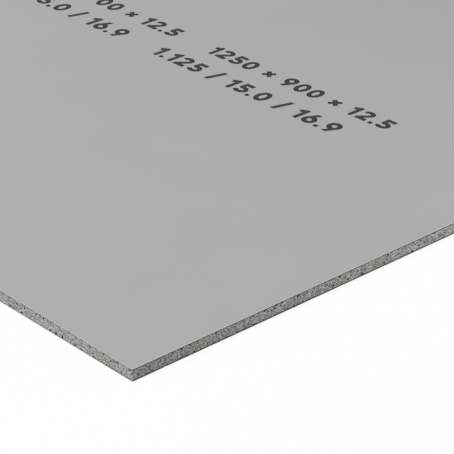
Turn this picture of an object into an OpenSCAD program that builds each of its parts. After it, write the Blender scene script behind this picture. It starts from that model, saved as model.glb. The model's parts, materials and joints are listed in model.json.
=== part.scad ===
// Square-cut cement board: one flat sheet lying on its back.
// The origin is the centre of the underside. X runs along the length, Y across the width, Z up.

/* [Sheet] */
// Length of the sheet, between its two cut ends
board_length = 1250; // [600:1:3000]
// Width of the sheet, between its two long edges
board_width = 900; // [300:1:1300]
// Thickness of the sheet, between its two faces
board_thickness = 12.5; // [6:0.5:30]

/* [Arrises] */
// Setback of the worn arris round the smooth upper face
face_arris = 0.3; // [0.1:0.1:1.5]
// Setback of the worn arris round the underside, where the cut breaks out
back_arris = 0.4; // [0.1:0.1:1.5]
// Setback of the four upright corners
corner_arris = 0.4; // [0.2:0.1:5]

/* [Hidden] */
// Pale grey of the cured cement
cement_grey = "#adadad";

// Section of the sheet from one edge to the other, standing on the underside,
// with the wider arrises below and the narrower ones above
module edge_to_edge(span) {
    edge = span / 2;
    polygon([
        [-edge + back_arris, 0],
        [edge - back_arris, 0],
        [edge, back_arris],
        [edge, board_thickness - face_arris],
        [edge - face_arris, board_thickness],
        [-edge + face_arris, board_thickness],
        [-edge, board_thickness - face_arris],
        [-edge, back_arris]
    ]);
}

// Outline of the sheet from above, with its four corners cut back at 45 degrees
module plan_outline() {
    end = board_length / 2;
    side = board_width / 2;
    polygon([
        [-end + corner_arris, -side],
        [end - corner_arris, -side],
        [end, -side + corner_arris],
        [end, side - corner_arris],
        [end - corner_arris, side],
        [-end + corner_arris, side],
        [-end, side - corner_arris],
        [-end, -side + corner_arris]
    ]);
}

// The sheet is what its outline, its cross section and its long section share,
// so the arrises run right round each face and meet in true mitres at the corners
module cement_board() {
    color(cement_grey)
    intersection() {
        linear_extrude(board_thickness)
            plan_outline();
        rotate([90, 0, 90])
            linear_extrude(board_length, center = true)
                edge_to_edge(board_width);
        rotate([90, 0, 0])
            linear_extrude(board_width, center = true)
                edge_to_edge(board_length);
    }
}

cement_board();
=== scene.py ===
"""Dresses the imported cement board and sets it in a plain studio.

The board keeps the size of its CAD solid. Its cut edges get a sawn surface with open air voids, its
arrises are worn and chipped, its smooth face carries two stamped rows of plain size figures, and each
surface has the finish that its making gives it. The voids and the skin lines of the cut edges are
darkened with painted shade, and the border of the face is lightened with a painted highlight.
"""

import json
import logging
import math
from collections.abc import Callable, Iterator
from dataclasses import dataclass, field
from enum import Enum
from functools import partial
from typing import Any, ClassVar

import bmesh
import bpy
from bmesh.types import BMesh, BMVert
from bpy.types import Material, Mesh, MeshPolygon, Node, NodeOutputs, NodeSocket, NodeTree, Object
from mathutils import Matrix, Vector, noise
from mathutils.geometry import delaunay_2d_cdt


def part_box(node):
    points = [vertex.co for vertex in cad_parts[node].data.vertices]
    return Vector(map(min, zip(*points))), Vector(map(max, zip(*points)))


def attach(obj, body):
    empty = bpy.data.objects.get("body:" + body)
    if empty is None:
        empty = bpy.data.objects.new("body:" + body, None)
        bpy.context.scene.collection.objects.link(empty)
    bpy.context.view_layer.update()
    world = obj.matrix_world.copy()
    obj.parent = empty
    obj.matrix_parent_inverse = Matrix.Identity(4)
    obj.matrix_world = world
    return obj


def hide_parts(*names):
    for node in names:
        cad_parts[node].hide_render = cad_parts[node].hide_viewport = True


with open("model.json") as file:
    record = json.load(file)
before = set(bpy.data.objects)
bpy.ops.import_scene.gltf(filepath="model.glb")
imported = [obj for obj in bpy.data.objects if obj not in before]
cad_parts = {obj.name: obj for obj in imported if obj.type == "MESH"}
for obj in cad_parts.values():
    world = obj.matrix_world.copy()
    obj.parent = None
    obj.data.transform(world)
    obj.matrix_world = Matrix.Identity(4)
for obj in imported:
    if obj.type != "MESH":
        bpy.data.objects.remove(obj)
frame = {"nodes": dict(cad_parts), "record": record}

MM = 0.001
BOARD_NODE = "cement_board"
WORLD_UP = Vector((0, 0, 1))
INK_FILM = 0.05 * MM
RIM_MARK = "rim"  # the ink's own attribute: 1 round the rim of a figure and 0 inside it

NodeAdder = Callable[..., Node]
Pair = tuple[float, float]
Line = tuple[Pair, ...]

log = logging.getLogger("cement_board")


def linear(hex_code: str) -> tuple[float, float, float, float]:
    """Turns an sRGB hex colour into the linear colour that shaders take.

    Args:
        hex_code: A hash sign and six hex digits.

    Returns:
        Linear red, green and blue, and an alpha of 1.
    """
    channels = [int(hex_code[i:i + 2], 16) / 255 for i in (1, 3, 5)]
    red, green, blue = [
        c / 12.92 if c <= 0.04045 else ((c + 0.055) / 1.055) ** 2.4 for c in channels
    ]
    return red, green, blue, 1.0


def add_node(
    tree: NodeTree, kind: str, inputs: dict[str | int, Any] | None = None, **settings: Any
) -> Node:
    """Adds a node to a tree, with its settings, and links or fills its inputs.

    Args:
        tree: The tree that gets the node.
        kind: The node's type.
        inputs: For an input's name or number, a node or socket to link from, or a value to hold.
        settings: Values for the node's own properties.

    Returns:
        The new node.
    """
    node = tree.nodes.new(kind)
    for name, value in settings.items():
        setattr(node, name, value)
    for key, value in (inputs or {}).items():
        named = [socket for socket in node.inputs if socket.enabled and socket.name == key]
        socket = node.inputs[key] if isinstance(key, int) else named[0]
        if isinstance(value, Node):
            value = next(output for output in value.outputs if output.enabled)
        if isinstance(value, NodeSocket):
            tree.links.new(value, socket)
        else:
            socket.default_value = value
    return node


def add_piece(name: str, mesh: Mesh) -> Object:
    """Puts a mesh in the scene as an object at the origin.

    Args:
        name: The piece's name.
        mesh: Its mesh, in the frame's own place and size.

    Returns:
        The new object.
    """
    piece = bpy.data.objects.new(name, mesh)
    bpy.context.scene.collection.objects.link(piece)
    return piece


def apply_modifiers(piece: Object) -> None:
    """Turns what a piece's modifiers make of it into its own mesh, and removes them.

    Args:
        piece: A mesh object with live modifiers.
    """
    depsgraph = bpy.context.evaluated_depsgraph_get()
    made = bpy.data.meshes.new_from_object(
        piece.evaluated_get(depsgraph), preserve_all_data_layers=True, depsgraph=depsgraph
    )
    piece.modifiers.clear()
    piece.data = made


class Slot(Enum):
    """The board's material slots, in their order on the mesh."""

    FACE = 0
    EDGE = 1
    BACK = 2
    # the hollows, dark with painted shade
    VOID = 3


@dataclass(frozen=True)
class Finish:
    """What the finishes share: a matt mineral surface, coloured and roughened by patterns."""

    name: str
    roughness: float = 0.85
    specular: float = 0.3
    ior: float = 1.5

    def make(self) -> Material:
        """Builds the material: its shader, driven by the finish's own patterns.

        Returns:
            The material.
        """
        material = bpy.data.materials.new(self.name)
        material.use_nodes = True
        tree = material.node_tree
        tree.nodes.clear()
        even = {"Roughness": self.roughness, "IOR": self.ior, "Specular IOR Level": self.specular}
        patterns = self.patterns(partial(add_node, tree))
        shader = add_node(tree, "ShaderNodeBsdfPrincipled", even | patterns)
        add_node(tree, "ShaderNodeOutputMaterial", {"Surface": shader})
        return material

    def patterns(self, add: NodeAdder) -> dict[str, Node]:
        """Adds the finish's patterns.

        Args:
            add: Adds a node to the material.

        Returns:
            For each input of the shader that isn't even all over, the node that drives it.
        """
        raise NotImplementedError


@dataclass(frozen=True)
class TrowelledCement(Finish):
    """Cement cured against a smooth belt: an even pale grey that looks dry and dense.

    It is barely clouded, a few dark specks lie near its outline, and the outline itself is worn pale and
    carries a painted highlight along the arris. A fine grain keeps it from shining evenly. high is the
    corner of the board's box, which is centred.
    """

    high: Vector = Vector((0, 0, 0))
    colour: str = "#ADADAD"
    cloud: str = "#A9A9A9"
    cloud_size: float = 90 * MM
    # painted highlight along the arris, together with real wear: the pale band round the outline
    rubbed_and_highlight: str = "#D2D2CE"
    rub_and_highlight_width: float = 1.3 * MM
    rub_and_highlight_strength: float = 2.2
    end_weight: float = 0.75  # a distance to an end counts for less, so the band there is wider
    speck: str = "#8E8E8C"
    speck_size: float = 2.2 * MM  # coarser than the real specks, so that they show
    speck_reach: float = 9 * MM
    speck_crowding: float = 0.13
    speck_level: Pair = (0.79, 0.89)  # of the noise, where a speck starts and where it is full
    grain_size: float = 1.1 * MM  # coarser than the real grain, so that it shows
    grain_depth: float = 0.02 * MM
    sheen_swing: float = 0.12

    def patterns(self, add: NodeAdder) -> dict[str, Node]:
        """Adds the clouds, the specks, the pale worn outline with its painted highlight, and the fine grain.

        Args:
            add: Adds a node to the material.

        Returns:
            The nodes that drive the shader's inputs.
        """
        place = add("ShaderNodeTexCoord").outputs["Object"]
        margin = self.margin(add, place)
        clouds = add("ShaderNodeTexNoise", {"Vector": place, "Scale": 1 / self.cloud_size, "Detail": 5.0})
        grain = add("ShaderNodeTexNoise", {"Vector": place, "Scale": 1 / self.grain_size, "Detail": 3.0})
        specks = add("ShaderNodeTexNoise", {"Vector": place, "Scale": 1 / self.speck_size, "Detail": 1.0})
        crowding = {"From Max": self.speck_reach, "To Min": self.speck_crowding, "To Max": 0.0}
        near = add("ShaderNodeMapRange", {"Value": margin} | crowding)
        likely = add("ShaderNodeMath", {0: specks, 1: near}, operation="ADD")
        start, full = self.speck_level
        marked = add("ShaderNodeMapRange", {"Value": likely, "From Min": start, "From Max": full})
        # the pale band round the outline: worn cement, and a painted highlight along the arris
        wear_and_highlight_range = {"From Max": self.rub_and_highlight_width, "To Min": self.rub_and_highlight_strength, "To Max": 0.0}
        worn = add("ShaderNodeMapRange", {"Value": margin} | wear_and_highlight_range)
        rubs_and_highlight = add("ShaderNodeMath", {0: worn, 1: grain}, operation="MULTIPLY")
        colour = linear(self.colour)
        for strength, tint in ((clouds, self.cloud), (marked, self.speck), (rubs_and_highlight, self.rubbed_and_highlight)):
            layer = {"Factor": strength, "A": colour, "B": linear(tint)}
            colour = add("ShaderNodeMix", layer, data_type="RGBA")
        gloss = {"To Min": self.roughness - self.sheen_swing, "To Max": self.roughness + self.sheen_swing}
        return {
            "Roughness": add("ShaderNodeMapRange", {"Value": grain} | gloss),
            "Base Color": colour,
            "Normal": add("ShaderNodeBump", {"Height": grain, "Distance": self.grain_depth}),
        }

    def margin(self, add: NodeAdder, place: NodeSocket) -> Node:
        """Adds how far inside the outline a spot is.

        Args:
            add: Adds a node to the material.
            place: The spot.

        Returns:
            The node that gives the distance to the nearest side.
        """
        mirrored = add("ShaderNodeVectorMath", {"Vector": place}, operation="ABSOLUTE")
        inset = add("ShaderNodeVectorMath", {0: tuple(self.high), 1: mirrored}, operation="SUBTRACT")
        weights = (self.end_weight, 1.0, 1.0)
        weighed = add("ShaderNodeVectorMath", {0: inset, 1: weights}, operation="MULTIPLY")
        sides = add("ShaderNodeSeparateXYZ", {0: weighed}).outputs
        return add("ShaderNodeMath", {0: sides["X"], 1: sides["Y"]}, operation="MINIMUM")


@dataclass(frozen=True)
class SawnCement(Finish):
    """Cement core laid open by a saw: sand cut through in a grey matrix, much coarser than the face.

    The blade drags the paste aslant, damp leaves faint patches, and each skin shows as a dense dark line
    that also carries painted shade where the board meets the floor, deepest along the back. A cut grain
    shines a little more than the paste. The sand stands out more at the ends of the board than along its
    long edges, and there the skin lines are darker still with painted shade.
    """

    bottom: float = 0.0
    top: float = 0.0
    pale_paste: str = "#E8E8E7"
    dark_paste: str = "#747472"
    paste_level: Pair = (1.0, 2.0)  # of drag and fines together, where the paste is darkest and palest
    drag_angle: float = math.radians(35)
    drag_length: float = 4.0 * MM
    drag_width: float = 1.1 * MM  # coarser than the real marks, so that they show
    drag_weight: float = 2.0
    fines_size: float = 0.8 * MM  # coarser than the real fines, so that they show
    dark_sand: str = "#2A2A29"
    pale_sand: str = "#FAFAF7"
    sand_size: float = 1.2 * MM  # coarser than most of the real grains, so that they show
    sand_outline: Pair = (0.56, 0.46)  # in sizes from a grain's middle, where it starts and is full
    sand_missing: Pair = (0.25, 0.3)  # share of the grains that stay buried, and that with half-buried ones
    sand_roughness: float = 0.65
    long_contrast: float = 1.0
    end_contrast: float = 2.0
    end_turn: Pair = (0.4, 0.6)  # of a normal's share along the board, where an edge turns into an end
    damp: str = "#A8A899"
    damp_size: float = 30 * MM
    damp_level: Pair = (0.5, 0.7)
    damp_strength: float = 0.3
    # painted shade as well as the skin's own dense paste: the dark of the lines along the back and the face
    skin_and_shade: str = "#161615"
    skin_depth: float = 0.8 * MM
    lower_skin_and_shade: Pair = (1.7, 1.3)  # in depths from the back, where the skin starts and is full
    upper_skin: Pair = (1.5, 0.8)  # in depths from the face, where the skin starts and is full
    upper_strength: float = 0.88
    # how much of a skin line and its painted shade shows along the long edges; the ends get all of it
    long_skin_and_shade: float = 0.35
    relief_depth: float = 0.25 * MM

    def patterns(self, add: NodeAdder) -> dict[str, Node]:
        """Lays the sand, the damp patches and the skin lines, with their painted shade, over the dragged
        paste.

        Args:
            add: Adds a node to the material.

        Returns:
            The nodes that drive the shader's inputs.
        """
        spot = add("ShaderNodeTexCoord").outputs
        place = spot["Object"]
        at_end = self.at_end(add, spot["Normal"])
        lightness = self.lightness(add, place)
        showing, shade = self.sand(add, place, at_end)
        patches = add("ShaderNodeTexNoise", {"Vector": place, "Scale": 1 / self.damp_size, "Detail": 2.0})
        start, full = self.damp_level
        wetting = {"From Min": start, "From Max": full, "To Max": self.damp_strength}
        damp = add("ShaderNodeMapRange", {"Value": patches} | wetting)
        skins_and_shade = self.skins_and_shade(add, place, at_end)
        paste, stone = [
            add("ShaderNodeMix", {"Factor": pale, "A": linear(dark), "B": linear(light)}, data_type="RGBA")
            for pale, dark, light in (
                (lightness, self.dark_paste, self.pale_paste),
                (shade, self.dark_sand, self.pale_sand),
            )
        ]
        colour = paste
        for strength, tint in ((showing, stone), (damp, linear(self.damp)), (skins_and_shade, linear(self.skin_and_shade))):
            colour = add("ShaderNodeMix", {"Factor": strength, "A": colour, "B": tint}, data_type="RGBA")
        height = add("ShaderNodeMath", {0: lightness, 1: showing}, operation="SUBTRACT")
        gloss = {"To Min": self.roughness, "To Max": self.sand_roughness}
        return {
            "Roughness": add("ShaderNodeMapRange", {"Value": showing} | gloss),
            "Base Color": colour,
            "Normal": add("ShaderNodeBump", {"Height": height, "Distance": self.relief_depth}),
        }

    def at_end(self, add: NodeAdder, normal: NodeSocket) -> Node:
        """Adds whether a spot is on an end or on a long edge.

        Args:
            add: Adds a node to the material.
            normal: The surface's normal.

        Returns:
            The node that gives 1 on an end and 0 on a long edge.
        """
        facing = add("ShaderNodeVectorMath", {0: normal}, operation="ABSOLUTE")
        along = add("ShaderNodeSeparateXYZ", {0: facing}).outputs["X"]
        start, full = self.end_turn
        return add("ShaderNodeMapRange", {"Value": along, "From Min": start, "From Max": full})

    def lightness(self, add: NodeAdder, place: NodeSocket) -> Node:
        """Adds how pale the paste is, from the slanting drag of the blade and the fines.

        Args:
            add: Adds a node to the material.
            place: The spot.

        Returns:
            The node that gives 1 for the palest paste.
        """
        spot = add("ShaderNodeSeparateXYZ", {0: place}).outputs
        along = add("ShaderNodeMath", {0: spot["X"], 1: spot["Y"]}, operation="ADD")
        unrolled = add("ShaderNodeCombineXYZ", {"X": along, "Y": spot["Z"]})
        slant = {"Rotation": (0, 0, self.drag_angle), "Scale": (self.drag_length, self.drag_width, 1.0)}
        aslant = add("ShaderNodeMapping", {"Vector": unrolled} | slant, vector_type="TEXTURE")
        drag = add("ShaderNodeTexNoise", {"Vector": aslant, "Scale": 1.0, "Detail": 3.0, "Roughness": 0.6})
        fines = add("ShaderNodeTexVoronoi", {"Vector": place, "Scale": 1 / self.fines_size})
        pick = add("ShaderNodeSeparateColor", {"Color": fines.outputs["Color"]}).outputs["Red"]
        mixed = add("ShaderNodeMath", {0: drag, 1: self.drag_weight, 2: pick}, operation="MULTIPLY_ADD")
        darkest, palest = self.paste_level
        return add("ShaderNodeMapRange", {"Value": mixed, "From Min": darkest, "From Max": palest})

    def sand(self, add: NodeAdder, place: NodeSocket, at_end: Node) -> tuple[Node, Node]:
        """Adds the cut sand: bent cells, of which some stay buried, each with its own shade.

        Args:
            add: Adds a node to the material.
            place: The spot.
            at_end: Gives 1 on an end and 0 on a long edge.

        Returns:
            The node that gives 1 on a grain, and the node that gives the grain's shade.
        """
        shove = add("ShaderNodeTexNoise", {"Vector": place, "Scale": 1 / self.sand_size, "Detail": 1.0})
        bending = {0: shove.outputs["Color"], 1: (self.sand_size,) * 3, 2: place}
        bent = add("ShaderNodeVectorMath", bending, operation="MULTIPLY_ADD")
        cells = add("ShaderNodeTexVoronoi", {"Vector": bent, "Scale": 1 / self.sand_size}).outputs
        pick = add("ShaderNodeSeparateColor", {"Color": cells["Color"]}).outputs
        inside, chosen = [
            add("ShaderNodeMapRange", {"Value": value, "From Min": start, "From Max": full})
            for value, (start, full) in (
                (cells["Distance"], self.sand_outline),
                (pick["Green"], self.sand_missing),
            )
        ]
        showing = add("ShaderNodeMath", {0: inside, 1: chosen}, operation="MULTIPLY")
        swing = {"To Min": self.long_contrast, "To Max": self.end_contrast}
        contrast = add("ShaderNodeMapRange", {"Value": at_end} | swing)
        middle = 0.5
        offset = add("ShaderNodeMath", {0: pick["Red"], 1: middle}, operation="SUBTRACT")
        spread = {0: offset, 1: contrast, 2: middle}
        shade = add("ShaderNodeMath", spread, operation="MULTIPLY_ADD", use_clamp=True)
        return showing, shade

    def skins_and_shade(self, add: NodeAdder, place: NodeSocket, at_end: Node) -> Node:
        """Adds the dense skins along the back and the face, with painted shade, weaker along the long edges.

        Args:
            add: Adds a node to the material.
            place: The spot.
            at_end: Gives 1 on an end and 0 on a long edge.

        Returns:
            The node that gives how strongly a skin line and its painted shade show.
        """
        height = add("ShaderNodeSeparateXYZ", {0: place}).outputs["Z"]
        # the line along the back is the darkest, with painted shade where the board meets the floor
        lower, upper = [
            add(
                "ShaderNodeMapRange",
                {
                    "Value": height,
                    "From Min": origin + start * self.skin_depth,
                    "From Max": origin + full * self.skin_depth,
                    "To Max": strength,
                },
            )
            for origin, start, full, strength in (
                (self.bottom, *self.lower_skin_and_shade, 1.0),
                (self.top, -self.upper_skin[0], -self.upper_skin[1], self.upper_strength),
            )
        ]
        both = add("ShaderNodeMath", {0: lower, 1: upper}, operation="MAXIMUM")
        # the ends get the skin lines and their painted shade in full, the long edges less
        strength = add("ShaderNodeMapRange", {"Value": at_end, "To Min": self.long_skin_and_shade})
        return add("ShaderNodeMath", {0: both, 1: strength}, operation="MULTIPLY")


@dataclass(frozen=True)
class ShadedVoid(Finish):
    """Inside of an air void: dusty cement, painted dark for the shade deep in a void, where little light
    gets in.
    """

    # painted shade: the void's inside, coloured dark
    colour: str = "#2C2C2A"
    dust: str = "#3E3E3B"
    dust_size: float = 0.4 * MM

    def patterns(self, add: NodeAdder) -> dict[str, Node]:
        """Adds the dusty grey, darkened with painted shade.

        Args:
            add: Adds a node to the material.

        Returns:
            The node that drives the shader's colour.
        """
        place = add("ShaderNodeTexCoord").outputs["Object"]
        drift = add("ShaderNodeTexNoise", {"Vector": place, "Scale": 1 / self.dust_size, "Detail": 2.0})
        dusting = {"Factor": drift, "A": linear(self.colour), "B": linear(self.dust)}
        return {"Base Color": add("ShaderNodeMix", dusting, data_type="RGBA")}


@dataclass(frozen=True)
class StampedInk(Finish):
    """Stamping ink dried into cement: a dull blotted black that soaks in unevenly.

    It is deepest round the rim of each figure, where the stamp squeezed it, and greyer inside, where the
    face drank it. The thick ink shines a little more than the thin.
    """

    specular: float = 0.1
    rim: str = "#060606"
    squeeze: float = 0.4  # power of the rim mark: the lower, the further the rim reaches in
    colour: str = "#363636"
    thin: str = "#4C4C4C"
    blot_size: float = 3 * MM
    thick_sheen: float = -0.2  # added to the roughness where the ink is thick
    thin_sheen: float = 0.1  # added to the roughness where the ink is thin

    def patterns(self, add: NodeAdder) -> dict[str, Node]:
        """Adds the blots and the squeezed rim.

        Args:
            add: Adds a node to the material.

        Returns:
            The nodes that drive the shader's inputs.
        """
        place = add("ShaderNodeTexCoord").outputs["Object"]
        blots = add("ShaderNodeTexNoise", {"Vector": place, "Scale": 1 / self.blot_size, "Detail": 4.0})
        rim = add("ShaderNodeAttribute", attribute_name=RIM_MARK).outputs["Fac"]
        squeezed = add("ShaderNodeMath", {0: rim, 1: self.squeeze}, operation="POWER")
        colour = linear(self.colour)
        for strength, tint in ((blots, self.thin), (squeezed, self.rim)):
            layer = {"Factor": strength, "A": colour, "B": linear(tint)}
            colour = add("ShaderNodeMix", layer, data_type="RGBA")
        gloss = {"To Min": self.roughness + self.thick_sheen, "To Max": self.roughness + self.thin_sheen}
        return {
            "Roughness": add("ShaderNodeMapRange", {"Value": blots} | gloss),
            "Base Color": colour,
        }


@dataclass(frozen=True)
class Hollows:
    """One kind of small hollow, scattered over the faces that point one way and cut out of the board.

    rise is the Z of those faces' normals. Sizes are radii. A hollow is up to stretch times as long as it
    is wide, sits up to sink radii deep, and only a share of the places found get one. Those that are whole
    are shifted to leave a thin lip at the back and at the face, and the others may break through.
    """

    name: str
    rise: float
    spacing: float
    share: float
    smallest: float
    largest: float
    stretch: float
    sink: float
    slot: Slot
    seed: int
    whole: bool = True


@dataclass
class HollowTree:
    """Geometry nodes that scatter lumpy balls over a blank's faces, to cut the hollows out with."""

    SIZES: ClassVar[tuple[str, ...]] = (  # inputs that take the field of Hollows of the same name
        "Rise", "Spacing", "Share", "Smallest", "Largest", "Stretch", "Sink"
    )
    crowding: float = 30.0  # places tried for each square of the spacing
    rise_error: float = 0.1  # how far off the rise of a chosen face may be
    size_power: float = 2.0  # the higher, the more of the hollows are small
    lump_rate: float = 0.8  # lumps in the radius of the largest ball
    segments: int = 8
    rings: int = 6
    lip: float = 0.6 * MM  # about what is left between a whole hollow and the back or the face
    loose: float = 10 * MM  # how far outside the board a hollow that may break through can reach
    tree: NodeTree = field(init=False)
    inputs: dict[str, Any] = field(init=False)

    def __post_init__(self) -> None:
        """Builds the tree, with its named inputs."""
        kinds = {"Geometry": "NodeSocketGeometry", "Finish": "NodeSocketMaterial", "Seed": "NodeSocketInt"}
        kinds |= dict.fromkeys((*self.SIZES, "Lowest", "Highest"), "NodeSocketFloat")
        self.tree = bpy.data.node_groups.new("scattered_hollows", "GeometryNodeTree")
        sockets = self.tree.interface
        self.inputs = {
            name: sockets.new_socket(name, in_out="INPUT", socket_type=kind)
            for name, kind in kinds.items()
        }
        sockets.new_socket("Geometry", in_out="OUTPUT", socket_type="NodeSocketGeometry")
        given = add_node(self.tree, "NodeGroupInput").outputs
        cutters = self.shape(given, self.scatter(given))
        add_node(self.tree, "NodeGroupOutput", {"Geometry": cutters})

    def scatter(self, given: NodeOutputs) -> Node:
        """Puts a unit ball, sized and turned, at places spread over the chosen faces.

        Args:
            given: The tree's inputs.

        Returns:
            The node that holds the balls as instances.
        """
        add = partial(add_node, self.tree)
        places = self.places(given).outputs
        power = {0: add("FunctionNodeRandomValue", {"Seed": 1}, data_type="FLOAT"), 1: self.size_power}
        mostly_small = add("ShaderNodeMath", power, operation="POWER")
        span = {"To Min": given["Smallest"], "To Max": given["Largest"]}
        radius = add("ShaderNodeMapRange", {"Value": mostly_small} | span)
        stretch = {"Min": 1.0, "Max": given["Stretch"], "Seed": 2}
        longer = add("FunctionNodeRandomValue", stretch, data_type="FLOAT")
        length = add("ShaderNodeMath", {0: radius, 1: longer}, operation="MULTIPLY")
        size = add("ShaderNodeCombineXYZ", {"X": length, "Y": radius, "Z": radius})
        shift = self.shift(given, radius, places["Normal"])
        sunk = add("GeometryNodeSetPosition", {"Geometry": places["Points"], "Offset": shift})
        sideways = {0: places["Normal"], 1: tuple(WORLD_UP)}
        along = add("ShaderNodeVectorMath", sideways, operation="CROSS_PRODUCT")
        turning = {"Rotation": places["Rotation"], "Vector": along}
        turn = add("FunctionNodeAlignRotationToVector", turning, axis="X", pivot_axis="Z")
        chance = {"Probability": given["Share"], "Seed": 4}
        kept = add("FunctionNodeRandomValue", chance, data_type="BOOLEAN")
        sides = {"Segments": self.segments, "Rings": self.rings, "Radius": 1.0}
        ball = add("GeometryNodeMeshUVSphere", sides)
        return add(
            "GeometryNodeInstanceOnPoints",
            {"Points": sunk, "Selection": kept, "Instance": ball, "Rotation": turn, "Scale": size},
        )

    def places(self, given: NodeOutputs) -> Node:
        """Spreads places over the faces that rise as asked, each at least a spacing from the next.

        Args:
            given: The tree's inputs.

        Returns:
            The node that holds the places.
        """
        add = partial(add_node, self.tree)
        rise = add("ShaderNodeSeparateXYZ", {0: add("GeometryNodeInputNormal")}).outputs["Z"]
        match = {"A": rise, "B": given["Rise"], "Epsilon": self.rise_error}
        chosen = add("FunctionNodeCompare", match, operation="EQUAL")
        choice = {"Geometry": given["Geometry"], "Selection": chosen}
        sides = add("GeometryNodeSeparateGeometry", choice, domain="FACE")
        square = add("ShaderNodeMath", {0: given["Spacing"], 1: given["Spacing"]}, operation="MULTIPLY")
        density = add("ShaderNodeMath", {0: self.crowding, 1: square}, operation="DIVIDE")
        return add(
            "GeometryNodeDistributePointsOnFaces",
            {"Mesh": sides, "Distance Min": given["Spacing"], "Density Max": density, "Seed": given["Seed"]},
            distribute_method="POISSON",
        )

    def shift(self, given: NodeOutputs, radius: Node, outward: NodeSocket) -> Node:
        """Moves a ball from its place: inwards, and up or down until it leaves its lip.

        Args:
            given: The tree's inputs.
            radius: Gives the ball's radius.
            outward: Gives the way out of the board.

        Returns:
            The node that gives the move.
        """
        add = partial(add_node, self.tree)
        sink = {"Min": 0.0, "Max": given["Sink"], "Seed": 3}
        deeper = add("FunctionNodeRandomValue", sink, data_type="FLOAT")
        depth = add("ShaderNodeMath", {0: radius, 1: deeper}, operation="MULTIPLY")
        inward = add("ShaderNodeVectorMath", {"Vector": outward, "Scale": -1.0}, operation="SCALE")
        sinking = add("ShaderNodeVectorMath", {"Vector": inward, "Scale": depth}, operation="SCALE")
        height = add("ShaderNodeSeparateXYZ", {0: add("GeometryNodeInputPosition")}).outputs["Z"]
        lowest = add("ShaderNodeMath", {0: given["Lowest"], 1: radius}, operation="ADD")
        highest = add("ShaderNodeMath", {0: given["Highest"], 1: radius}, operation="SUBTRACT")
        level = add("ShaderNodeClamp", {"Value": height, "Min": lowest, "Max": highest})
        lift = add("ShaderNodeMath", {0: level, 1: height}, operation="SUBTRACT")
        lifting = add("ShaderNodeCombineXYZ", {"Z": lift})
        return add("ShaderNodeVectorMath", {0: sinking, 1: lifting}, operation="ADD")

    def shape(self, given: NodeOutputs, balls: Node) -> Node:
        """Makes the balls real, lumpy like sand, with the finish of a hollow.

        Args:
            given: The tree's inputs.
            balls: The node that holds the balls.

        Returns:
            The node that holds the cutters.
        """
        add = partial(add_node, self.tree)
        solid = add("GeometryNodeRealizeInstances", {"Geometry": balls})
        lumps = add("ShaderNodeMath", {0: self.lump_rate, 1: given["Largest"]}, operation="DIVIDE")
        place = add("GeometryNodeInputPosition")
        swell = add("ShaderNodeTexNoise", {"Vector": place, "Scale": lumps, "Detail": 1.0})
        middle = (0.5, 0.5, 0.5)
        centring = {0: swell.outputs["Color"], 1: middle}
        centred = add("ShaderNodeVectorMath", centring, operation="SUBTRACT")
        swelling = {"Vector": centred, "Scale": given["Smallest"]}
        shift = add("ShaderNodeVectorMath", swelling, operation="SCALE")
        lumpy = add("GeometryNodeSetPosition", {"Geometry": solid, "Offset": shift})
        return add("GeometryNodeSetMaterial", {"Geometry": lumpy, "Material": given["Finish"]})

    def cut(self, piece: Object, blank: Mesh, hollows: Hollows) -> None:
        """Cuts one kind of hollow out of a piece.

        Args:
            piece: The piece that loses the hollows, with its finishes in their slots.
            blank: The plain solid whose faces the hollows are scattered over.
            hollows: The kind, with its sizes.
        """
        cutters = add_piece(hollows.name, blank.copy())
        scatter = cutters.modifiers.new(hollows.name, "NODES")
        scatter.node_group = self.tree
        heights = [corner.co.z for corner in blank.vertices]
        lip = self.lip if hollows.whole else -self.loose
        values = {name: getattr(hollows, name.lower()) for name in ("Seed", *self.SIZES)}
        values["Finish"] = piece.data.materials[hollows.slot.value]
        values["Lowest"] = min(heights) + lip
        values["Highest"] = max(heights) - lip
        for name, value in values.items():
            scatter[self.inputs[name].identifier] = value
        apply_modifiers(cutters)
        cut = piece.modifiers.new(hollows.name, "BOOLEAN")
        cut.operation = "DIFFERENCE"
        cut.solver = "MANIFOLD"
        cut.material_mode = "TRANSFER"
        cut.object = cutters
        apply_modifiers(piece)
        bpy.data.objects.remove(cutters)


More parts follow.
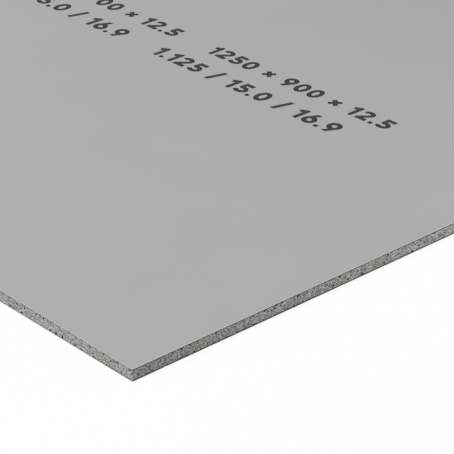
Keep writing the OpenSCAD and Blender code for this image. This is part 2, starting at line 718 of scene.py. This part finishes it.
@dataclass(frozen=True)
class BakeLayout:
    """Lays the board out on a square picture for baking, with far more room for its edges than its faces.

    The edges, with the border of the face, are unrolled and cut into rows. The faces go above them.
    """

    low: Vector
    high: Vector
    border: float
    rows: int = 11
    gap: float = 0.004
    tipped: float = 0.4  # rise of a normal from which a piece of the border is folded out beside its edge

    def lay_out(self, mesh: Mesh) -> None:
        """Gives a mesh its map.

        Args:
            mesh: The board's finished mesh.
        """
        layer = mesh.uv_layers.new(name="OFBake")
        for face in mesh.polygons:
            deep = min(self.insets(face.center)) > self.border
            place = self.on_face if deep or face.material_index == Slot.BACK.value else self.on_edge
            for loop in face.loop_indices:
                layer.data[loop].uv = place(mesh.vertices[mesh.loops[loop].vertex_index].co, face)

    def insets(self, spot: Vector) -> Pair:
        """Returns how far a spot is inside the two ends and inside the two long edges."""
        return self.high.x - abs(spot.x), self.high.y - abs(spot.y)

    def on_face(self, spot: Vector, face: MeshPolygon) -> Pair:
        """Places a spot of the face or the back on the picture, above the rows.

        Args:
            spot: The spot.
            face: The polygon that it belongs to.

        Returns:
            The spot's place on the picture.
        """
        length, width = self.high.x - self.low.x, self.high.y - self.low.y
        start = self.rows * self.row_height() + self.gap
        across, scale = self.gap, (1 - self.gap - start) / width
        if face.center.z < (self.low.z + self.high.z) / 2:
            across += length * scale + self.gap
            scale = (1 - self.gap - across) / length
        return across + (spot.x - self.low.x) * scale, start + (spot.y - self.low.y) * scale

    def on_edge(self, spot: Vector, face: MeshPolygon) -> Pair:
        """Places a spot of an edge on the picture, in the row that its polygon's centre falls in.

        Args:
            spot: The spot.
            face: The polygon that it belongs to.

        Returns:
            The spot's place on the picture.
        """
        run, depth = self.unroll(spot, face.center)
        row = int(self.unroll(face.center, face.center)[0] // self.row_length())
        rise = spot.z - self.low.z
        if abs(face.normal.z) > self.tipped and face.material_index != Slot.VOID.value:
            rise += math.copysign(depth, face.normal.z)
        along = self.gap + (run - row * self.row_length()) * self.edge_scale()
        return along, self.gap + row * self.row_height() + (rise + self.foot()) * self.edge_scale()

    def unroll(self, spot: Vector, centre: Vector) -> Pair:
        """Unrolls a spot from the side of the board that its polygon's centre is nearest.

        Args:
            spot: The spot.
            centre: The polygon's centre.

        Returns:
            How far round the outline the spot is, and how far inside that side.
        """
        length, width = self.high.x - self.low.x, self.high.y - self.low.y
        end, side = self.insets(spot)
        centre_end, centre_side = self.insets(centre)
        if centre_side <= centre_end:
            run = spot.x - self.low.x if centre.y < 0 else length + width + self.high.x - spot.x
            return run, side
        run = length + spot.y - self.low.y if centre.x > 0 else 2 * length + width + self.high.y - spot.y
        return run, end

    def row_length(self) -> float:
        """Returns how much of the outline a row holds."""
        return 2 * (self.high.x - self.low.x + self.high.y - self.low.y) / self.rows

    def edge_scale(self) -> float:
        """Returns the rows' scale, in pictures per metre."""
        return (1 - 2 * self.gap) / self.row_length()

    def foot(self) -> float:
        """Returns the room that a row leaves below the edge, for the arris there."""
        return self.border / 3

    def row_height(self) -> float:
        """Returns a row's height on the picture, with the gap above it."""
        return (self.high.z - self.low.z + self.border + self.foot()) * self.edge_scale() + self.gap


@dataclass
class Board:
    """The sheet: the CAD solid's box and arrises, with what the saw, trapped air and handling leave."""

    blank: Object
    low: Vector
    high: Vector
    station_pitch: float = 2.5 * MM
    edge_rows: int = 4
    border: float = 3 * MM
    saw_wander: float = 0.12 * MM
    wander_length: float = 7 * MM
    wear_length: float = 5 * MM
    wear_level: float = 0.7
    wear_swing: float = 0.5
    least_wear: float = 0.4
    crease: float = math.radians(28)
    flat_rise: float = 0.999  # rise of a normal from which a polygon is shaded flat
    arris_rise: float = math.sqrt(0.5)
    level_error: float = 0.01 * MM
    weld: float = 0.001 * MM

    def hollows(self) -> Iterator[Hollows]:
        """Works out each kind of hollow.

        Returns:
            The kinds, in the order in which they are cut.
        """
        rise = self.arris_rise
        yield Hollows(
            "back_chips", rise=-rise, spacing=7 * MM, share=0.5, smallest=0.3 * MM, largest=0.6 * MM,
            stretch=3.0, sink=0.0, slot=Slot.EDGE, seed=13, whole=False,
        )
        yield Hollows(
            "face_chips", rise=rise, spacing=7 * MM, share=0.4, smallest=0.3 * MM, largest=0.7 * MM,
            stretch=3.0, sink=0.0, slot=Slot.EDGE, seed=14, whole=False,
        )
        # chips along the back arris, finished with the void's painted shade so that they show black
        yield Hollows(
            "broken_grains", rise=-rise, spacing=22 * MM, share=0.8, smallest=0.7 * MM, largest=1.3 * MM,
            stretch=1.8, sink=0.9, slot=Slot.VOID, seed=16,
        )
        yield Hollows(
            "large_voids", rise=0.0, spacing=9 * MM, share=0.85, smallest=0.65 * MM, largest=1.5 * MM,
            stretch=1.2, sink=0.5, slot=Slot.VOID, seed=11,
        )
        yield Hollows(
            "voids", rise=0.0, spacing=4.5 * MM, share=0.32, smallest=0.3 * MM, largest=0.6 * MM,
            stretch=1.3, sink=0.4, slot=Slot.VOID, seed=12,
        )
        yield Hollows(
            "pinholes", rise=1.0, spacing=30 * MM, share=0.5, smallest=0.12 * MM, largest=0.3 * MM,
            stretch=1.2, sink=0.3, slot=Slot.VOID, seed=15, whole=False,
        )

    def setback(self, height: float) -> float:
        """Returns how far the blank's outline at one height stays back from its box."""
        level = [v.co.x for v in self.blank.data.vertices if abs(v.co.z - height) < self.level_error]
        return self.high.x - max(level)

    def corner_setback(self) -> float:
        """Returns how far the blank's upright corners are cut back along its sides."""
        end = [v.co.y for v in self.blank.data.vertices if abs(v.co.x - self.high.x) < self.level_error]
        return self.high.y - max(end)

    def stations(self) -> Iterator[tuple[Vector, Vector]]:
        """Walks round the outline of the box.

        Returns:
            Each station's place, and the way out of the board there.
        """
        corners = [
            Vector((self.high.x, self.low.y, 0)),
            Vector((self.high.x, self.high.y, 0)),
            Vector((self.low.x, self.high.y, 0)),
            Vector((self.low.x, self.low.y, 0)),
        ]
        cut = self.corner_setback()
        for here, there in zip(corners, corners[1:] + corners[:1]):
            way = (there - here).normalized()
            out = way.cross(WORLD_UP)
            back = out.cross(WORLD_UP)
            yield here - (out - way) * cut / 2, (out + back).normalized()
            start, end = here + way * cut, there - way * cut
            steps = round((end - start).length / self.station_pitch)
            for step in range(steps + 1):
                yield start.lerp(end, step / steps), out

    def wear(self, place: Vector, layer: float) -> float:
        """Works out how worn an arris is.

        Args:
            place: The place along it.
            layer: Which arris it is, as a height in the noise that is far from the other's.

        Returns:
            The share of the arris's setback that is worn away there.
        """
        smoothness, finer, octaves = 1.0, 2.0, 3
        spot = place / self.wear_length + Vector((0, 0, layer))
        rough = noise.fractal(spot, smoothness, finer, octaves)
        return min(max(self.wear_level + self.wear_swing * rough, self.least_wear), 1.0)

    def rings(self) -> Iterator[list[Vector]]:
        """Rings the board with closed lines of points, from its back up to its face.

        Returns:
            Each ring's points, in the order of the stations.
        """
        stations = list(self.stations())
        top = self.high.z - INK_FILM
        back_arris, face_arris = self.setback(self.low.z), self.setback(self.high.z)
        back_layer, face_layer = 3.0, 8.0
        backs = [back_arris * self.wear(place, back_layer) for place, _ in stations]
        faces = [face_arris * self.wear(place, face_layer) for place, _ in stations]
        lift = Vector((0, 0, self.low.z))
        yield [place - out * arris + lift for (place, out), arris in zip(stations, backs)]
        for row in range(self.edge_rows + 1):
            line = []
            for (place, out), back, face in zip(stations, backs, faces):
                bottom = self.low.z + back
                point = place + WORLD_UP * (bottom + (top - face - bottom) * row / self.edge_rows)
                swing = noise.noise(point / self.wander_length)
                line.append(point - out * self.saw_wander * (0.5 + 0.5 * swing))
            yield line
        yield [place - out * arris + WORLD_UP * top for (place, out), arris in zip(stations, faces)]
        inner = self.high - Vector((self.border, self.border, 0))
        yield [
            Vector((min(max(place.x, -inner.x), inner.x), min(max(place.y, -inner.y), inner.y), top))
            for place, _ in stations
        ]

    def sheet(self) -> Mesh:
        """Builds the closed sheet, before its hollows, with each polygon in its slot.

        Returns:
            The sheet's mesh.
        """
        work = bmesh.new()
        rings = [[work.verts.new(point) for point in line] for line in self.rings()]
        last_edge_band = self.edge_rows + 1
        for band, (under, over) in enumerate(zip(rings, rings[1:])):
            slot = Slot.EDGE if band <= last_edge_band else Slot.FACE
            for i in range(len(under)):
                face = work.faces.new((under[i - 1], under[i], over[i], over[i - 1]))
                face.material_index = slot.value
                face.smooth = True
        work.faces.new(reversed(rings[0])).material_index = Slot.BACK.value
        work.faces.new(rings[-1]).material_index = Slot.FACE.value
        bmesh.ops.remove_doubles(work, verts=work.verts, dist=self.weld)
        mesh = bpy.data.meshes.new("sheet")
        work.to_mesh(mesh)
        work.free()
        return mesh

    def build(self) -> Object:
        """Makes the board, with its finishes and hollows, in place of the CAD node.

        Returns:
            The finished piece.
        """
        piece = add_piece("sheet", self.sheet())
        finishes = {
            Slot.FACE: TrowelledCement("trowelled_cement_face", high=self.high),
            Slot.EDGE: SawnCement("sawn_cement_edge", bottom=self.low.z, top=self.high.z),
            Slot.BACK: TrowelledCement("trowelled_cement_back", high=self.high),
            Slot.VOID: ShadedVoid("void_painted_shade"),
        }
        for slot in Slot:
            piece.data.materials.append(finishes[slot].make())
        tree = HollowTree()
        for hollows in self.hollows():
            before = len(piece.data.polygons)
            tree.cut(piece, self.blank.data, hollows)
            log.info("%s: %d faces more", hollows.name, len(piece.data.polygons) - before)
        for face in piece.data.polygons:
            face.use_smooth = abs(face.normal.z) < self.flat_rise
        piece.data.set_sharp_from_angle(angle=self.crease)
        BakeLayout(self.low, self.high, self.border).lay_out(piece.data)
        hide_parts(BOARD_NODE)
        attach(piece, "root")
        return piece


def shortened(line: list[Vector], trim: float) -> list[Vector]:
    """Takes a length off the start of a line of points, and turns the line round.

    Args:
        line: The points.
        trim: The length.

    Returns:
        The rest of the line, from its end to its new start.
    """
    while (line[1] - line[0]).length <= trim:
        trim -= (line[1] - line[0]).length
        line = line[1:]
    return line[:0:-1] + [line[0] + (line[1] - line[0]).normalized() * trim]


@dataclass(frozen=True)
class Stroke:
    """One stroke of a numeral, along a line of points in cap heights.

    A closed stroke joins its ends, and the ends of a level stroke are cut level.
    """

    points: Line
    closed: bool = False
    level: bool = False

    def quads(self, width: float, trim: float) -> Iterator[list[Vector]]:
        """Gives the stroke as a strip of quads.

        Args:
            width: The stroke's width in cap heights.
            trim: How much shorter each open end is, in cap heights.

        Returns:
            The quads' corners.
        """
        line = [Vector(point) for point in self.points]
        if not self.closed:
            line = shortened(shortened(line, trim), trim)
        count = len(line)
        rungs = []
        for i, point in enumerate(line):
            before = line[i - 1] if self.closed or i else point
            after = line[(i + 1) % count] if self.closed or i < count - 1 else point
            way = (after - before).normalized()
            side = Vector((-way.y, way.x))
            if self.level:
                side = Vector((1 / side.x, 0))
            rungs.append((point + side * width / 2, point - side * width / 2))
        if self.closed:
            rungs.append(rungs[0])
        for (left, right), (next_left, next_right) in zip(rungs, rungs[1:]):
            yield [left, right, next_right, next_left]


def bow(centre: Pair, radii: Pair, start: float, end: float, steps: int = 20) -> Line:
    """Gives points along part of an upright ellipse.

    Args:
        centre: The ellipse's centre.
        radii: Its half width and half height.
        start: The first point's angle in degrees, from the right, anticlockwise.
        end: The last point's angle.
        steps: How many parts the bow is divided into.

    Returns:
        The points.
    """
    angles = [math.radians(start + (end - start) * i / steps) for i in range(steps + 1)]
    (across, up), (half_width, half_height) = centre, radii
    return tuple((across + half_width * math.cos(a), up + half_height * math.sin(a)) for a in angles)


def ring(centre: Pair, radii: Pair, sides: int = 24) -> Stroke:
    """Gives a closed elliptical stroke round a centre."""
    return Stroke(bow(centre, radii, 0, 360 - 360 / sides, sides - 1), closed=True)


@dataclass
class Numerals:
    """Bold numerals of one stroke width, drawn from straight strokes and bows, a cap height tall."""

    NARROW: ClassVar[dict[str, float]] = {"1": 0.46, ".": 0.2, "×": 0.62, "/": 0.46}
    usual_width: float = 0.74
    stroke: float = 0.23
    rim: float = 0.075
    tracking: float = 0.17
    word_space: float = 0.53
    tolerance: float = 1e-5  # distance at which two points of a sign are one
    signs: dict[str, list[Stroke]] = field(init=False)

    def __post_init__(self) -> None:
        """Draws each sign."""
        low, high, middle = self.stroke / 2, 1 - self.stroke / 2, 0.5
        half = (self.usual_width - self.stroke) / 2
        centre = self.usual_width / 2
        bowl = (half, (1 - 2 * self.stroke) * 0.25 + self.stroke * 0.5)
        self.signs = {
            "0": [ring((centre, middle), (half, middle - low))],
            "1": [Stroke(((0.34, 0), (0.34, 1))), Stroke(((0.02, 0.71), (0.36, 0.895)))],
            "2": [
                Stroke(bow((0.36, 0.69), (0.25, high - 0.69), 168, -38) + ((0.13, low),)),
                Stroke(((0.03, low), (0.7, low))),
            ],
            "3": [
                Stroke(bow((0.33, 0.72), (0.23, high - 0.72), 160, -80)),
                Stroke(bow((0.35, 0.31), (0.27, 0.31 - low), 80, -160)),
            ],
            "4": [
                Stroke(((0.52, 0), (0.52, 1))),
                Stroke(((0.0, 0.29), (0.74, 0.29))),
                Stroke(((0.07, 0.27), (0.49, 0.95))),
            ],
            "5": [
                Stroke(((0.11, high), (0.67, high))),
                Stroke(((0.225, 0.95), (0.175, 0.5)), level=True),
                Stroke(bow((0.35, 0.33), (0.28, 0.33 - low), 132, -158)),
            ],
            "6": [ring((centre, 0.335), bowl), Stroke(((0.14, 0.42), (0.44, 1)), level=True)],
            "7": [Stroke(((0.04, high), (0.7, high))), Stroke(((0.22, 0), (0.6, 0.92)), level=True)],
            "8": [ring((centre, 0.73), (0.22, high - 0.73)), ring((centre, 0.3), (half, 0.3 - low))],
            "9": [ring((centre, 0.665), bowl), Stroke(((0.3, 0), (0.6, 0.58)), level=True)],
            ".": [Stroke(((0.1, 0), (0.1, 0.2)))],
            "×": [Stroke(((0.07, 0.21), (0.55, 0.69))), Stroke(((0.07, 0.69), (0.55, 0.21)))],
            "/": [Stroke(((0.08, -0.04), (0.38, 1.04)), level=True)],
        }

    def width(self, sign: str) -> float:
        """Returns a sign's width in cap heights."""
        return self.NARROW.get(sign, self.usual_width)

    def length(self, text: str) -> float:
        """Returns a text's length in cap heights."""
        signs = [self.word_space if sign == " " else self.width(sign) + self.tracking for sign in text]
        return sum(signs) - self.tracking

    def triangles(self, sign: str) -> tuple[list[Vector], list[tuple[list[int], bool]]]:
        """Joins a sign's strokes into one flat shape, divided into its rim and its core.

        Args:
            sign: The sign.

        Returns:
            The shape's points in cap heights, and its triangles as point numbers, with whether each is core.
        """
        strokes = self.signs[sign]
        whole = [quad for stroke in strokes for quad in stroke.quads(self.stroke, 0)]
        core = [quad for stroke in strokes for quad in stroke.quads(self.stroke - 2 * self.rim, self.rim)]
        corners = [corner for quad in whole + core for corner in quad]
        quads = [[i, i + 1, i + 2, i + 3] for i in range(0, len(corners), 4)]
        made = delaunay_2d_cdt(corners, [], quads, 0, self.tolerance, True)
        points, _, triangles, _, _, sources = made
        found = zip(triangles, sources)
        return points, [(triangle, max(source) >= len(whole)) for triangle, source in found if source]


@dataclass(frozen=True)
class Row:
    """One stamped row of figures: it ends a distance short of the board's end, above one long edge."""

    text: str
    end_inset: float
    edge_inset: float
    cap_height: float


@dataclass
class Marking:
    """Two rows of plain size figures, stamped along the board: its sizes in mm, then its area and weights.

    The film stands proud of the face and reaches half as far into it, so that no gap shows between them.
    """

    low: Vector
    high: Vector
    mass: float
    gap: float = 62 * MM
    depth: float = 1.5 * INK_FILM
    flat_angle: float = math.radians(1)

    def rows(self) -> Iterator[Row]:
        """Words both rows, from the board's own size and mass.

        Returns:
            The rows.
        """
        length, width, thickness = self.high - self.low
        area = length * width
        sizes = f"{length / MM:.0f} × {width / MM:.0f} × {thickness / MM:g}"
        weights = f"{area:.3f} / {self.mass / area:.1f} / {self.mass:.1f}"
        yield Row(sizes, end_inset=204 * MM, edge_inset=535 * MM, cap_height=24 * MM)
        yield Row(weights, end_inset=238 * MM, edge_inset=484 * MM, cap_height=25 * MM)

    def build(self) -> Object:
        """Stamps the rows, repeated along the board, as one thin film of ink.

        Returns:
            The finished piece.
        """
        numerals = Numerals()
        work = bmesh.new()
        work.verts.layers.float.new(RIM_MARK)
        for row in self.rows():
            length = numerals.length(row.text) * row.cap_height
            start = self.high.x - row.end_inset - length
            while start > self.low.x + self.gap:
                self.stamp(work, numerals, row, Vector((start, self.low.y + row.edge_inset, self.high.z)))
                start -= length + self.gap
        bmesh.ops.recalc_face_normals(work, faces=work.faces)
        mesh = bpy.data.meshes.new("size_marking")
        work.to_mesh(mesh)
        work.free()
        mesh.materials.append(StampedInk("stamped_ink").make())
        piece = add_piece("size_marking", mesh)
        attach(piece, "root")
        return piece

    def stamp(self, work: BMesh, numerals: Numerals, row: Row, start: Vector) -> None:
        """Stamps one row's signs, each a closed film.

        Args:
            work: The mesh that gets the signs.
            numerals: The signs' shapes.
            row: The row.
            start: The lower left end of the row, on top of the ink.
        """
        run = 0.0
        for sign in row.text:
            if sign == " ":
                run += numerals.word_space
                continue
            points, triangles = numerals.triangles(sign)
            tops = [work.verts.new(start + Vector((run + p.x, p.y, 0)) * row.cap_height) for p in points]
            for triangle, is_core in triangles:
                work.faces.new([tops[i] for i in triangle]).material_index = int(is_core)
            self.thicken(work, tops)
            run += numerals.width(sign) + numerals.tracking

    def thicken(self, work: BMesh, tops: list[BMVert]) -> None:
        """Merges a flat sign's triangles, marks its rim and gives it its depth.

        The walls and the underside are made one by one, so that they come in the same order each run.

        Args:
            work: The mesh that holds the sign, with its core told from its rim by its material number.
            tops: The sign's points.
        """
        edges = list(dict.fromkeys(edge for point in tops for edge in point.link_edges))
        bmesh.ops.dissolve_limit(
            work, angle_limit=self.flat_angle, verts=tops, edges=edges, delimit={"MATERIAL"}
        )
        tops = [point for point in tops if point.is_valid]
        for point in tops:
            point[work.verts.layers.float[RIM_MARK]] = float(point.is_boundary)
        faces = list(dict.fromkeys(face for point in tops for face in point.link_faces))
        rim = [loop for face in faces for loop in face.loops if loop.edge.is_boundary]
        under = {point: work.verts.new(point.co - WORLD_UP * self.depth, point) for point in tops}
        for face in faces:
            face.material_index = 0
            work.faces.new([under[point] for point in reversed(face.verts[:])])
        for loop in rim:
            near, far = loop.vert, loop.link_loop_next.vert
            work.faces.new((near, under[near], under[far], far))


@dataclass(frozen=True)
class Lamp:
    """A square soft lamp: its place from the board's near corner, its side and its power in watts."""

    name: str
    place: Vector
    side: float
    power: float

    def hang(self, corner: Vector) -> None:
        """Hangs the lamp, out of the camera's sight, turned to the corner.

        Args:
            corner: The near corner of the board's face.
        """
        data = bpy.data.lights.new(self.name, "AREA")
        data.size = self.side
        data.energy = self.power
        lamp = bpy.data.objects.new(self.name, data)
        turn = self.place.to_track_quat("Z", "Y").to_matrix().to_4x4()
        lamp.matrix_world = Matrix.Translation(corner + self.place) @ turn
        lamp.visible_camera = False
        bpy.context.scene.collection.objects.link(lamp)


@dataclass
class Studio:
    """A plain pale floor, soft light and the camera."""

    corner: Vector
    sky: float = 0.4
    azimuth: float = math.radians(47.85)
    elevation: float = math.radians(27.62)
    distance: float = 2.2067
    aim: Pair = (-0.1486, 0.2499)
    sensor: float = 36.0
    lens: float = 172.47
    floor_reach: float = 12.0
    floor_drop: float = 0.05 * MM  # below the board's back, so that the two don't meet
    floor_paint: Pair = (0.45, 0.98)  # as it lights the board, and as it is seen
    floor_glow: float = 0.92  # the share of the seen floor that is plain white
    contact: float = 0.8 * MM
    open_share: float = 0.9
    contact_power: float = 1.4

    def camera(self) -> None:
        """Sets the camera above the near corner, aimed at a spot on the face."""
        data = bpy.data.cameras.new("camera")
        data.sensor_width = self.sensor
        data.lens = self.lens
        camera = bpy.data.objects.new("camera", data)
        bpy.context.scene.collection.objects.link(camera)
        turn = (
            Matrix.Rotation(self.azimuth, 4, "Z")
            @ Matrix.Rotation(math.pi / 2 - self.elevation, 4, "X")
        )
        spot = self.corner + Vector((*self.aim, 0))
        camera.matrix_world = Matrix.Translation(spot + turn @ Vector((0, 0, self.distance))) @ turn
        bpy.context.scene.camera = camera

    def seen(self, tree: NodeTree) -> Node:
        """Tells the rays that show the background from the rays that light the board.

        Args:
            tree: The nodes of the floor or the world.

        Returns:
            The node that gives 1 for a ray that shows it, and 0 for a ray that lights.
        """
        rays = add_node(tree, "ShaderNodeLightPath").outputs
        shows = rays["Is Camera Ray"]
        for ray in ("Is Glossy Ray", "Is Transmission Ray"):
            shows = add_node(tree, "ShaderNodeMath", {0: shows, 1: rays[ray]}, operation="MAXIMUM")
        return shows

    def floor(self) -> None:
        """Lays the floor: plain white where it is seen, with a thin shadow where the board meets it."""
        mesh = bpy.data.meshes.new("floor")
        reach = self.floor_reach
        sheet = [(-reach, -reach), (reach, -reach), (reach, reach), (-reach, reach)]
        mesh.from_pydata([(x, y, -self.floor_drop) for x, y in sheet], [], [(0, 1, 2, 3)])
        material = bpy.data.materials.new("floor_paint")
        material.use_nodes = True
        tree = material.node_tree
        tree.nodes.clear()
        add = partial(add_node, tree)
        seen = self.seen(tree)
        lighting, showing = self.floor_paint
        paint = add("ShaderNodeMapRange", {"Value": seen, "To Min": lighting, "To Max": showing})
        matt = add("ShaderNodeBsdfDiffuse", {"Color": paint})
        share = add("ShaderNodeMath", {0: seen, 1: self.floor_glow}, operation="MULTIPLY")
        touch = add("ShaderNodeAmbientOcclusion", {"Distance": self.contact}, samples=8).outputs["AO"]
        open_sky = add("ShaderNodeMapRange", {"Value": touch, "From Max": self.open_share})
        shade = add("ShaderNodeMath", {0: open_sky, 1: self.contact_power}, operation="POWER")
        glow = add("ShaderNodeEmission", {"Color": (1, 1, 1, 1), "Strength": shade})
        both = add("ShaderNodeMixShader", {0: share, 1: matt, 2: glow})
        add("ShaderNodeOutputMaterial", {"Surface": both})
        mesh.materials.append(material)
        add_piece("floor", mesh)

    def light(self) -> None:
        """Hangs the soft light and sets the world."""
        world = bpy.data.worlds.new("studio")
        world.use_nodes = True
        tree = world.node_tree
        tree.nodes.clear()
        strength = add_node(tree, "ShaderNodeMapRange", {"Value": self.seen(tree), "To Min": self.sky})
        sky = add_node(tree, "ShaderNodeBackground", {"Color": (1, 1, 1, 1), "Strength": strength})
        add_node(tree, "ShaderNodeOutputWorld", {"Surface": sky})
        bpy.context.scene.world = world
        for lamp in (
            Lamp("key", place=Vector((-2.0, -2.9, 5.3)), side=2.4, power=294),
            Lamp("end_fill", place=Vector((0.45, 0.95, 0.07)), side=0.12, power=2.6),
        ):
            lamp.hang(self.corner)


def main() -> None:
    """Builds the board, its marking and the studio, and reports each piece."""
    logging.basicConfig(level=logging.INFO, format="%(name)s: %(message)s")
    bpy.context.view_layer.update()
    low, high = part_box(BOARD_NODE)
    board = Board(frame["nodes"][BOARD_NODE], low, high).build()
    log.info("%s: %d faces", board.name, len(board.data.polygons))
    marking = Marking(low, high, frame["record"]["physics"]["mass_kg"]).build()
    log.info("%s: %d faces", marking.name, len(marking.data.polygons))
    studio = Studio(Vector((high.x, low.y, high.z)))
    studio.camera()
    studio.floor()
    studio.light()
    bpy.context.scene.view_settings.view_transform = "Standard"


if __name__ == "__main__":
    main()
